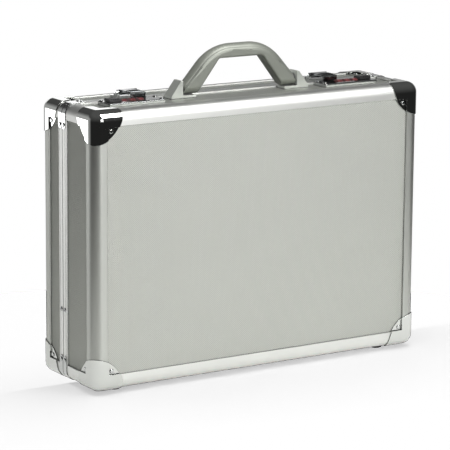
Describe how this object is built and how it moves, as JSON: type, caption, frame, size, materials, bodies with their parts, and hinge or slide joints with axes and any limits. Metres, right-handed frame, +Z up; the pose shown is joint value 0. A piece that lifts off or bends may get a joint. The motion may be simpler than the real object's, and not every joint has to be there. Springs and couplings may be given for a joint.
{
  "type": "attache case",
  "caption": "Rectangular hard attache case in a rounded aluminium frame, with capped corners, a folding top handle, combination locks and a hinged lid.",
  "frame": {"origin": "centre of the footprint, on the floor under the feet, with the case closed and standing on its hinge side", "axes": "+X along the case's width to the right, +Y from the base shell's face to the lid, +Z up towards the handle"},
  "size_m": [0.462, 0.1284, 0.3936],
  "materials": {
    "embossed_panel": "fine embossed dots, satin anodised",
    "frame_aluminium": "satin anodised extrusion",
    "corner_chrome": "polished chrome plate",
    "bright_chrome": "bright chrome plate",
    "steel": "plain zinc-plated",
    "handle_grey": "satin silver-grey",
    "bracket_grey": "satin silver-grey",
    "dial": "moulded, ten flats with digits",
    "foot_rubber": "matt",
    "lining": "woven nylon"
  },
  "bodies": {
    "case": {"base_bottom_edge": "frame_aluminium", "base_bottom_wall": "embossed_panel", "base_cap_bottom_left": "corner_chrome", "base_cap_bottom_right": "corner_chrome", "base_cap_top_left": "corner_chrome", "base_cap_top_right": "corner_chrome", "base_corner_edges": "frame_aluminium", "base_feet": "foot_rubber", "base_front_panel": "embossed_panel", "base_hinge_leaves": "bright_chrome", "base_lining": "lining", "base_rim": "frame_aluminium", "base_rim_plates": "bright_chrome", "base_rivets": "bright_chrome", "base_side_edges": "frame_aluminium", "base_side_walls": "embossed_panel", "base_stay_studs": "steel", "base_top_edge": "frame_aluminium", "base_top_wall": "embossed_panel", "handle_bracket_left": "bracket_grey", "handle_bracket_right": "bracket_grey", "handle_pins": "steel", "hinge_pins": "steel", "lock_body_left": "bright_chrome", "lock_body_right": "bright_chrome", "lock_dial_axles": "steel"},
    "lid": {"lid_back_panel": "embossed_panel", "lid_bottom_edge": "frame_aluminium", "lid_bottom_wall": "embossed_panel", "lid_cap_bottom_left": "corner_chrome", "lid_cap_bottom_right": "corner_chrome", "lid_cap_top_left": "corner_chrome", "lid_cap_top_right": "corner_chrome", "lid_corner_edges": "frame_aluminium", "lid_feet": "foot_rubber", "lid_hinge_leaves": "bright_chrome", "lid_lining": "lining", "lid_rim": "frame_aluminium", "lid_rim_plates": "bright_chrome", "lid_rivets": "bright_chrome", "lid_side_edges": "frame_aluminium", "lid_side_walls": "embossed_panel", "lid_stay_studs": "steel", "lid_top_edge": "frame_aluminium", "lid_top_wall": "embossed_panel", "lock_hasp_pins": "steel", "lock_keepers": "bright_chrome"},
    "handle": {"handle_grip": "handle_grey"},
    "stay_lower": {"stay_lower_arms": "steel"},
    "stay_upper": {"stay_upper_arms": "steel"},
    "hasp_left": {"lock_hasp_left": "bright_chrome"},
    "slide_left": {"lock_slide_left": "bright_chrome"},
    "dial_1_left": {"lock_dial_1_left": "dial"},
    "dial_2_left": {"lock_dial_2_left": "dial"},
    "dial_3_left": {"lock_dial_3_left": "dial"},
    "hasp_right": {"lock_hasp_right": "bright_chrome"},
    "slide_right": {"lock_slide_right": "bright_chrome"},
    "dial_1_right": {"lock_dial_1_right": "dial"},
    "dial_2_right": {"lock_dial_2_right": "dial"},
    "dial_3_right": {"lock_dial_3_right": "dial"}
  },
  "joints": [
    {"name": "lid_hinge", "type": "hinge", "parent": "case", "child": "lid", "pos_m": [0, 0.0116, 0.0027], "axis": [-1, 0, 0], "range_deg": [0, 95]},
    {"name": "handle_fold", "type": "hinge", "parent": "case", "child": "handle", "pos_m": [0, -0.006, 0.346], "axis": [1, 0, 0], "range_deg": [-85, 85]},
    {"name": "stay_lower_turn", "type": "hinge", "parent": "case", "child": "stay_lower", "pos_m": [0, 0.0073, 0.0898], "axis": [-1, 0, 0], "range_deg": [0, 95]},
    {"name": "stay_upper_turn", "type": "hinge", "parent": "stay_lower", "child": "stay_upper", "pos_m": [0, 0.0116, 0.1769], "axis": [-1, 0, 0], "range_deg": [-95, 0]},
    {"name": "hasp_lift_left", "type": "hinge", "parent": "lid", "child": "hasp_left", "pos_m": [-0.136, 0.025, 0.34], "axis": [-1, 0, 0], "range_deg": [0, 100]},
    {"name": "slide_push_left", "type": "slide", "parent": "case", "child": "slide_left", "axis": [-1, 0, 0], "range_m": [0, 0.006], "stiffness_N_per_m": 150},
    {"name": "dial_1_turn_left", "type": "hinge", "parent": "case", "child": "dial_1_left", "pos_m": [-0.141, -0.015, 0.3302], "axis": [1, 0, 0], "continuous": true},
    {"name": "dial_2_turn_left", "type": "hinge", "parent": "case", "child": "dial_2_left", "pos_m": [-0.152, -0.015, 0.3302], "axis": [1, 0, 0], "continuous": true},
    {"name": "dial_3_turn_left", "type": "hinge", "parent": "case", "child": "dial_3_left", "pos_m": [-0.163, -0.015, 0.3302], "axis": [1, 0, 0], "continuous": true},
    {"name": "hasp_lift_right", "type": "hinge", "parent": "lid", "child": "hasp_right", "pos_m": [0.136, 0.025, 0.34], "axis": [-1, 0, 0], "range_deg": [0, 100]},
    {"name": "slide_push_right", "type": "slide", "parent": "case", "child": "slide_right", "axis": [1, 0, 0], "range_m": [0, 0.006], "stiffness_N_per_m": 150},
    {"name": "dial_1_turn_right", "type": "hinge", "parent": "case", "child": "dial_1_right", "pos_m": [0.141, -0.015, 0.3302], "axis": [1, 0, 0], "continuous": true},
    {"name": "dial_2_turn_right", "type": "hinge", "parent": "case", "child": "dial_2_right", "pos_m": [0.152, -0.015, 0.3302], "axis": [1, 0, 0], "continuous": true},
    {"name": "dial_3_turn_right", "type": "hinge", "parent": "case", "child": "dial_3_right", "pos_m": [0.163, -0.015, 0.3302], "axis": [1, 0, 0], "continuous": true}
  ],
  "couplings": [
    {"joint": "stay_lower_turn", "follows": "lid_hinge", "ratio": 1},
    {"joint": "stay_upper_turn", "follows": "lid_hinge", "ratio": -1}
  ]
}
